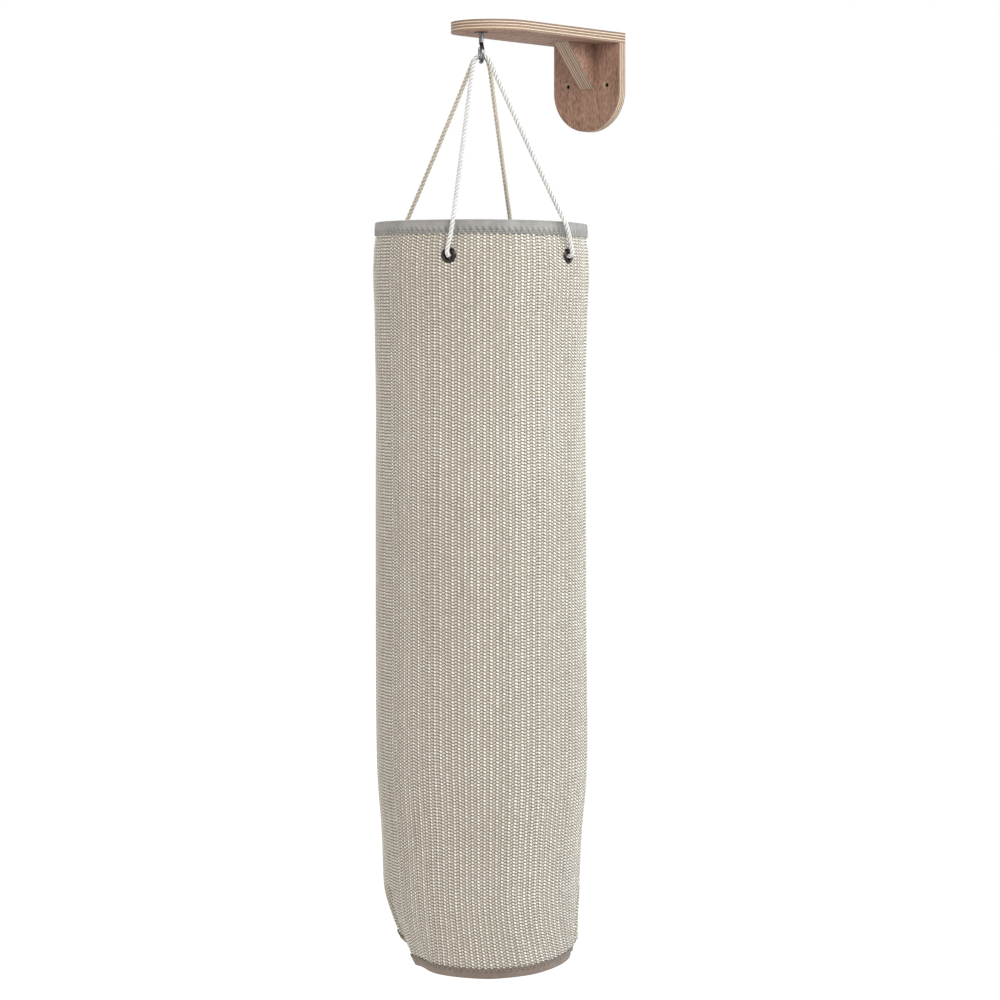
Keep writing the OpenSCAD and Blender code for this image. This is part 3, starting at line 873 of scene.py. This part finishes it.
def eyelets():
    """Grommets and the rings behind them: (distance outwards from the tube's face, radius)."""
    deep, hole, r = -BARREL_DEPTH, EYELET_HOLE_R, EYELET_R
    lip = arc_profile([
        (-0.9, r - 0.4), (-0.3, r), (0.7, r - 0.1), (1.9, 8.6), (2.3, 7.2), (1.9, 5.8),
        (0.9, hole + 0.2), (-1.0, hole), (-6.0, hole), (deep - 0.8, hole + 0.05),
        (deep - 1.6, 5.4), (deep - 1.3, 6.3), (deep - 0.4, 6.1)])
    back = np.array([(deep + 0.6, 5.55), (-2.0, 5.55), (-0.9, 6.2)])
    ring = arc_profile([
        (deep + 1.0, 5.7), (deep + 0.1, 5.9), (deep - 0.2, 7.5), (deep + 0.1, r - 0.6),
        (deep + 0.7, r), (deep + 1.2, r - 0.4), (deep + 1.1, 7.5)])
    for profile, name, node in ((np.vstack([lip, back])[::-1], "eyelet_grommets", "eyelets"),
                                (ring, "eyelet_back_rings", "eyelet_washers")):
        b = Build()
        for place in eyelet_frames():
            lathe(b, profile, place)
        b.make(name, GUNMETAL, node, "bag")


KNOT_SCALE, KNOT_DEPTH = 2.05, 1.5  # of a trefoil curve


def knots():
    """Overhand knots behind the eyelets, each with a short frayed tail."""
    b = Build()
    t = np.linspace(0, 2 * math.pi, 90)
    for n, (middle, d, side, up) in enumerate(eyelet_frames()):
        centre = middle - d * (BARREL_DEPTH + 7.6)
        turn = 0.7 + 1.9 * n
        u = side * math.cos(turn) + up * math.sin(turn)
        w = up * math.cos(turn) - side * math.sin(turn)
        trefoil = ((np.sin(t) + 2 * np.sin(2 * t))[:, None] * u
                   + (np.cos(t) - 2 * np.cos(2 * t))[:, None] * w
                   - KNOT_DEPTH * np.sin(3 * t)[:, None] * d)
        line, marks = smooth_path((centre + KNOT_SCALE * trefoil)[::2], 0.8)
        sweep(b, line, marks, laid(2.75), 18)
        stub = [middle - d * (BARREL_DEPTH - 0.6), middle - d * (BARREL_DEPTH + 4), centre]
        sweep(b, *smooth_path(stub, 1.0), laid(2.8), 18)
        tail = [centre - d * 1 - up * 2, centre - d * 3 - up * 8 + side * 2,
                centre - d * 2 - up * 15 + side * 3, centre - up * 22 + side * 2]
        line, marks = smooth_path(tail, 1.0)

        def frayed(angle, mark, end=marks[-1]):
            return laid(2.8)(angle, mark) * (1 + 0.35 * rise(mark, end - 5, 5))

        sweep(b, line, marks, frayed, 18)
    b.make("cord_overhand_knots", CREAM, "cord_knots", "bag")


eyelets()
knots()

# ---- bracket


VENEER, VENEER_DARK = (0.30, 0.172, 0.120), (0.10, 0.052, 0.034)


def wood_materials(name, grain, thick, start, ply, pale, painted_veneer_light):
    """Face veneer and sawn edge of a plywood board. grain: direction of the face's grain; thick:
    axis number across the plies, which begin at `start` metres and are `ply` metres thick;
    pale and the last argument: lightness of the light plies and of the veneer, which is made
    lighter on the gussets as painted light."""
    grain = np.array(grain, float) / np.linalg.norm(grain)
    normal = np.eye(3)[thick]

    def start_shade(kind, **sockets):
        """A material, the place, and its distances along the grain, over it and down."""
        s = Shade(name + kind, **sockets)
        p = s.coords("Object")
        turn = {"operation": "DOT_PRODUCT"}
        axes = (grain, np.cross(grain, normal), normal)
        return s, p, *(s.node("VectorMath", out="Value", settings=turn, i0=p, i1=tuple(a))
                       for a in axes)

    s, p, along, over, deep = start_shade("_veneer", Roughness=0.62, Specular_IOR_Level=0.3)
    bend = s.noise(s.join(along * 5.0, over * 16.0, deep * 40.0), 1.0, 2, 0.5)
    figure = s.noise(s.join(along * 9.0, over * 170.0 + bend * 7.0, deep * 30.0), 1.0, 3, 0.6)
    fine = s.noise(s.join(along * 45.0, over * 950.0 + bend * 20.0, deep * 60.0), 1.0, 3, 0.7)
    pore = s.noise(s.join(along * 130.0, over * 1500.0, deep * 90.0), 1.0, 1, 0.5)
    pore = pore.f("GREATER_THAN", 0.66)
    fleck = s.noise(s.join(along * 150.0 + bend * 9.0, over * 480.0, deep * 60.0), 1.0, 2, 0.55)
    cloud = s.noise(p, 26.0, 3, 0.6)
    tone = ((figure - 0.5) * 0.9 + (fine - 0.5) * 0.9 + (fleck - 0.5) * 2.0
            + (cloud - 0.5) * 0.8 + 0.42)
    colour = s.mix(tone.clamped(), times(painted_veneer_light, VENEER), times(painted_veneer_light, VENEER_DARK))
    colour = s.mix(pore * 0.4, colour, VENEER_DARK)
    veneer = s.finish(colour, fine - pore * 0.8, 0.55 + fine * 0.2, depth=0.0002)

    s, p, along, over, deep = start_shade("_edge", Roughness=0.8, Specular_IOR_Level=0.2)
    sway = (s.noise(s.join(along * 14.0, over * 14.0), 1.0, 2, 0.5) - 0.5) * 0.5
    uneven = (s.noise(s.join(deep * 330.0, start * 50.0), 1.0, 1, 0.5) - 0.5) * 1.3
    level = (deep - start) * (1 / ply) + sway + uneven
    layer, within = level.f("FLOOR"), level.f("FRACT")
    odd = (level * 0.5).f("FRACT").f("GREATER_THAN", 0.56)
    layered = s.join(along * 120.0, over * 120.0, layer * 7.0 + deep * 1800.0)
    streak = s.noise(layered, 1.0, 3, 0.65)
    dots = s.noise(s.join(along * 900.0, over * 900.0, deep * 1400.0), 1.0, 2, 0.6)
    change = s.random(layer, 5.0) - 0.5
    light = s.mix((streak + change * 0.5).clamped(), times(pale, (0.40, 0.31, 0.225)),
                  times(pale, (0.63, 0.52, 0.40)))
    brown = s.mix((streak * 0.6 + dots * 0.5 + change * 0.4).clamped(),
                  (0.085, 0.052, 0.034), (0.32, 0.21, 0.155))
    glue = (within - 0.5).f("ABSOLUTE").f("GREATER_THAN", 0.43)
    colour = s.mix(glue * (0.25 + dots * 0.6), s.mix(odd, brown, light), (0.10, 0.06, 0.04))
    edge = s.finish(colour, odd * 0.4 + streak * 0.7 - glue * 0.5, depth=0.0003)
    return [veneer, edge]


FLAT = 0.97  # how squarely a face of the board lies, as a cosine


def in_countersink(place, normal):
    near = abs(place.z) < SINK_R * MM and abs(abs(place.x) - HOLE_X * MM) < SINK_R * MM
    return near and abs(normal[1]) < FLAT


def board(node, name, grain, thick, start, ply, pale=1.0, painted_veneer_light=1.0):
    """The CAD board with eased edges, its faces in veneer and its sawn edges in plies."""
    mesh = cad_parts[node].data.copy()
    mesh.name = name
    form = bmesh.new()
    form.from_mesh(mesh)
    bmesh.ops.remove_doubles(form, verts=form.verts, dist=2e-6)
    bmesh.ops.dissolve_limit(form, angle_limit=math.radians(0.6), verts=form.verts,
                             edges=form.edges)
    sharp = [e for e in form.edges if e.is_manifold and e.calc_face_angle(0) > math.radians(40)]
    bmesh.ops.bevel(form, geom=sharp, offset=0.0008, segments=2, affect="EDGES", profile=0.5,
                    clamp_overlap=True)
    for f in form.faces:
        f.smooth = True
        f.normal_update()
        if node == "wall_plate" and in_countersink(f.calc_center_median(), f.normal):
            f.material_index = 2
        else:
            f.material_index = 0 if abs(f.normal[thick]) > FLAT else 1
    mesh.materials.clear()
    form.to_mesh(mesh)
    form.free()
    for m in wood_materials(name, grain, thick, start, ply, pale, painted_veneer_light) + [SUNK_WOOD]:
        mesh.materials.append(m)
    mesh.set_sharp_from_angle(angle=math.radians(28))
    obj = bpy.data.objects.new(name, mesh)
    bpy.context.scene.collection.objects.link(obj)
    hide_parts(node)
    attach(obj, "bracket")


def sunk_wood_material():
    """End grain left by a countersink: bright at its rim, with painted shade darkening it down the
    hole.
    """
    s = Shade("sunk_wood", Roughness=0.9, Specular_IOR_Level=0.2)
    spot = s.coords("Object")
    torn = s.noise(spot, 900.0, 3, 0.6)
    x, y, _ = s.split(spot)
    ring = s.noise(s.join(x, y, y * 2.0), 600.0, 2, 0.5)
    # Painted shade: darker the deeper a point lies in the hole.
    down = (y * 450.0 + 5.4).clamped()
    colour = s.mix(torn * 0.6 + ring * 0.4, (0.10, 0.062, 0.04), (0.46, 0.33, 0.23))
    return s.finish(s.mix(down, colour, (0.03, 0.018, 0.012)), torn, depth=0.0003)


SUNK_WOOD = sunk_wood_material()
PLY = 0.002
board("wall_plate", "wall_plate_plywood", (0, 0, 1), 1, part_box("wall_plate")[0].y, PLY)
board("bracket_arm", "bracket_arm_plywood", (0, 1, 0), 2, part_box("bracket_arm")[0].z,
      PLY)
for part in ("gusset_left", "gusset_right"):
    # The gussets' veneer is made lighter than the other boards': painted light for their lit side
    # faces.
    board(part, part + "_plywood", (0, 0.5, 0.87), 0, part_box(part)[0].x, 0.0019,
          pale=0.72, painted_veneer_light=1.32)


CORE_R, THREAD, THREAD_TURN = 1.55, 0.42, 2.6  # radius, height of the thread, radians per mm
HEAD_FLAT = [0.05, 0.4, 0.8, 1.2, 1.6, 2.0, 2.4, 2.8, 3.3, 3.8]  # radii of the head's flat top


def screws(name, node, places, length):
    """Countersunk wood screws with a cross recess and a thread, each from the top of its head
    along an axis."""
    rows = [(r, 0.0) for r in HEAD_FLAT] + [(3.98, 0.12)]
    rows += [(2.0 + 0.4 * k, 2.0 - 0.4 * k) for k in (4, 2, 0)]
    rows += [(CORE_R, z) for z in np.arange(2.4, length - 4, 0.4)]
    rows += [(1.0, length - 2), (0.1, length)]
    sides = 48
    a = circle(sides)
    b = Build()
    for middle, axis in places:
        axis = np.array(axis, float)
        u = unit(np.cross(axis, (0.31, 0.77, 0.56)))
        out = spokes(a, u, np.cross(axis, u))
        ring = []
        for r, z in rows:
            recess, thread = 0, 0
            if z == 0:
                wings = np.minimum(np.abs(r * np.cos(a)), np.abs(r * np.sin(a)))
                recess = np.clip((0.62 - wings) / 0.25, 0, 1) * np.clip((2.35 - r) / 0.5, 0, 1)
            if r == CORE_R:
                thread = THREAD * np.maximum(0, np.sin(a - z * THREAD_TURN)) ** 2
            depth = np.broadcast_to(z + 1.5 * recess, a.shape)
            across = np.broadcast_to(r + thread, a.shape)
            ring.append(np.asarray(middle, float) + across[:, None] * out + depth[:, None] * axis)
        b.grid(np.array(ring), wrap=True)
        b.lids(len(rows), sides)
    b.make(name, SCREW_ZINC, node, "bracket")


ARM_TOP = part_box("bracket_arm")[1].z / MM
DOWN, FORWARD = (0, 0, -1), (0, -1, 0)
into_plate = [((x, -7, ARM_TOP - 0.02), DOWN) for x in (-35, 35)]
screws("arm_wood_screws", "arm_screws", into_plate, 45)
down_into_gussets = [((x, -48, ARM_TOP - 0.02), DOWN) for x in (-6, 6)]
through_plate = [((x, -0.02, 25), FORWARD) for x in (-6, 6)]
screws("gusset_wood_screws", "gusset_screws", down_into_gussets + through_plate, 35)

# The lower washer's near-black steel is partly painted shade, for the arm's shade that it sits in.
for node, material in (("hook", ZINC), ("hook_tee_nut", SCREW_ZINC),
                       ("hook_lower_washer", DARK_STEEL)):
    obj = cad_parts[node]
    obj.data.materials.clear()
    obj.data.materials.append(material)

# ---- inside


def disc(build, edge, middle, rings, flip):
    """Rings from an edge loop to its middle."""
    share = np.linspace(1, 0.004, rings)[:, None, None]
    points = middle + (edge - middle) * share
    points[..., 2] = middle[2] + (edge[..., 2] - middle[2]) * share[..., 0] ** 2
    uv = np.concatenate([points[..., :2], points[:, :1, :2]], 1)
    build.grid(points, uv, wrap=True, flip=flip)
    build.lid(build.count - len(edge), len(edge), -1 if flip else 1)


def slab(build, loops, middles, rings):
    """Closed sheet between a lower and an upper edge loop."""
    disc(build, loops[0], middles[0], rings, True)
    disc(build, loops[1], middles[1], rings, False)
    build.grid(np.stack(loops), wrap=True)


def base():
    canvas = cloth_material("base_canvas", (0.50, 0.455, 0.375), (0.33, 0.29, 0.22), thread=0.9)
    s = around(360)
    b = Build()
    loops = [tube(s, [h], MATTING_T + 1.6)[0] for h in (14.0, 18.0)]
    middles = [np.array([*(LEAN * 9 + HOOK[:2]), HEM_Z + h]) for h in (11.0, 15.0)]
    slab(b, loops, middles, 24)
    obj = b.make("base_canvas_panel", canvas, "base_panel", "bag")
    b = Build()
    for left, other in ((-133, 157), (264, 640)):
        line = tube(np.linspace(left, other, 260), [13.6], MATTING_T + 8)[0]
        stitches(b, line, np.tile((0.0, 0.0, -1.0), (len(line), 1)), length=4.5, gap=1.8)
    b.make("base_stitches", SEAM_THREAD, "base_stitching", "bag")


def sack_points(columns, heights, inset, top_r, top_z, gather, neck):
    """Rows of a tied sack: up the side, over the gathered shoulder and up the neck, whose
    (radius, z) are given. gather: depth of its folds."""
    side = tube(around(columns), heights, inset)
    x, y, z0 = side[-1].T
    a, r0 = np.arctan2(y - HOOK[1], x), np.hypot(x, y - HOOK[1])
    folds = np.sin(a * 23 + 1.2 * np.sin(a * 5)) + 0.5 * np.sin(a * 37 + 2)
    rows = []
    for k in np.radians(np.arange(6, 91, 6)):
        near = math.sin(k) ** 3
        r = (top_r + (r0 - top_r) * math.cos(k)) * (1 + 0.05 * near * gather * folds)
        rows.append((r, z0 + (top_z - z0) * math.sin(k) + 2.2 * near * gather * folds))
    rows += [(r * (1 + 0.10 * gather * folds), z + gather * folds * 0.6) for r, z in neck]
    upper = [np.stack([r * np.cos(a), HOOK[1] + r * np.sin(a), z], 1) for r, z in rows]
    return np.concatenate([side, upper])


LINER_INSET, LINER_T = 11.4, 1.2
FILL_TOP = BAG_H - 110
DOME_Z = RIM_Z - 70
LINER_H = np.r_[20.5, 30, 45, 60, 80, 100, 130, 180, 240, np.linspace(300, FILL_TOP, 14)]


def over_hook(z):
    return np.array([0, HOOK[1], z])


def liner():
    cotton = cloth_material("liner_calico", (0.68, 0.64, 0.55), (0.50, 0.46, 0.38), thread=0.8)
    neck = [(r, DOME_Z + z) for r, z in (
        (15.5, 2), (13.5, 7), (13.0, 11), (14.5, 15), (17.0, 21), (18.5, 28))]
    columns = 288
    outer = sack_points(columns, LINER_H, LINER_INSET, 16.0, DOME_Z, 1.0, neck)
    inner = sack_points(columns, LINER_H + 1, LINER_INSET + LINER_T, 15.0, DOME_Z - LINER_T, 1.0,
                        [(r - LINER_T, z) for r, z in neck])
    b = Build()
    uv = uv_grid(np.arange(columns + 1) * 2.9, lengths_along(outer[:, 0]))
    b.grid(outer, uv, wrap=True)
    b.grid(inner, uv, wrap=True, flip=True)
    b.grid(np.stack([outer[-1], inner[-1]]), wrap=True)
    disc(b, outer[0], over_hook(HEM_Z + 19.5), 8, True)
    disc(b, inner[0], over_hook(HEM_Z + 21.0), 8, False)
    plug = [HOOK + (inner[-4] - HOOK) * (0.97, 0.97, 1) + (0, 0, up) for up in (0.0, 1.2)]
    slab(b, plug, [over_hook(DOME_Z + 1.0), over_hook(DOME_Z + 2.2)], 6)
    obj = b.make("liner_sack_gathered", cotton, "liner_sack", "bag")


def filling():
    rag = Shade("textile_rags", Roughness=0.95)
    spot = rag.coords("Object")
    tuft = rag.noise(spot, 160.0, 4, 0.7)
    patch = rag.noise(spot, 30.0, 2, 0.5)
    mixed = rag.ramp(patch, (0.3, (0.20, 0.23, 0.28)), (0.5, (0.42, 0.42, 0.41)),
                     (0.7, (0.33, 0.24, 0.20)))
    rags = rag.finish(rag.mix(tuft, mixed, (0.62, 0.61, 0.59)), tuft, depth=0.002)
    points = sack_points(120, LINER_H + 3, LINER_INSET + LINER_T + 2, 12.0, DOME_Z - 6, 0.4,
                         [(6.0, DOME_Z - 4)])
    rng = np.random.default_rng(7)
    ragged = rng.uniform(0, 0.025, points.shape[:2])[..., None]
    points[:, :, :2] -= (points[:, :, :2] - HOOK[:2]) * ragged
    b = Build()
    b.grid(points, wrap=True)
    disc(b, points[0], over_hook(HEM_Z + 24), 5, True)
    disc(b, points[-1], over_hook(DOME_Z - 3.5), 5, False)
    obj = b.make("filling_rags", rags, "filling", "bag")


def liner_tie():
    """Two turns of string round the liner's neck, its two ends, and their knot."""
    t = np.linspace(0, 4 * math.pi, 110)
    turns = np.stack([15.2 * np.cos(t), 15.2 * np.sin(t), 8.2 + 3.2 * t / t[-1]], 1)
    ends = [[(15.4, k * 1, 10), (18.5, k * 3, 12), (21, k * 9, 9), (25, k * 17, 3), (33, k * 24, 1)]
            for k in (-1, 1)]
    knot = [(16.5, -4, 9), (19, -2, 12.5), (19, 2, 8.5), (16.5, 4, 12)]
    b = Build()
    for points, step, r in ((turns, 0.8, 1.6), (ends[0], 0.8, 1.6), (ends[1], 0.8, 1.6),
                            (knot, 0.6, 1.8)):
        sweep(b, *smooth_path(over_hook(DOME_Z) + points, step), laid(r), 12)
    b.make("liner_tie_string", CREAM, "liner_tie", "bag")


base()
liner()
filling()
liner_tie()

# ---- floor and light


def floor_material():
    s = Shade("floor_paint", Roughness=0.8, Emission_Color=(1, 1, 1, 1), Emission_Strength=0.55)
    tone = s.noise(s.coords("Object"), 3.0, 3, 0.5)
    return s.finish(s.mix(tone, (0.86, 0.86, 0.86), (0.89, 0.89, 0.89)))


def floor():
    b = Build()
    z, far = -5000.0, 400000.0  # low enough that views from below are over it
    b.add([(-far, -far, z), (far, -far, z), (far, far, z), (-far, far, z)], [(0, 1, 2, 3)])
    obj = b.make("floor", floor_material())


def area_light(name, place, target, size, power, colour=(1, 1, 1)):
    data = bpy.data.lights.new(name, "AREA")
    data.shape, data.size, data.energy, data.color = "DISK", size, power, colour
    obj = bpy.data.objects.new(name, data)
    bpy.context.scene.collection.objects.link(obj)
    obj.location = place
    obj.rotation_mode = "QUATERNION"
    obj.rotation_quaternion = (Vector(place) - Vector(target)).to_track_quat("Z", "Y")


floor()
MIDDLE = (0, -0.25, -0.6)
area_light("key", (3.4, -2.2, 1.6), MIDDLE, 2.4, 150)
area_light("fill", (-1.2, -4.2, -1.1), MIDDLE, 2.6, 58, (1.0, 0.95, 0.885))
area_light("back", (-2.2, 1.5, 1.0), MIDDLE, 1.8, 46)
area_light("side", (2.6, 0.9, 0.75), MIDDLE, 1.8, 68, (0.85, 0.945, 1.0))

world = bpy.data.worlds.new("studio")
world.use_nodes = True
tree = world.node_tree
background = tree.nodes["Background"]
seen = tree.nodes.new("ShaderNodeLightPath")
backdrop = tree.nodes.new("ShaderNodeMix")
backdrop.data_type = "FLOAT"
backdrop.inputs[2].default_value, backdrop.inputs[3].default_value = 0.62, 1.0
tree.links.new(seen.outputs["Is Camera Ray"], backdrop.inputs[0])
tree.links.new(backdrop.outputs[0], background.inputs["Strength"])
background.inputs["Color"].default_value = (1, 1, 1, 1)
bpy.context.scene.world = world
bpy.context.scene.view_settings.view_transform = "Standard"
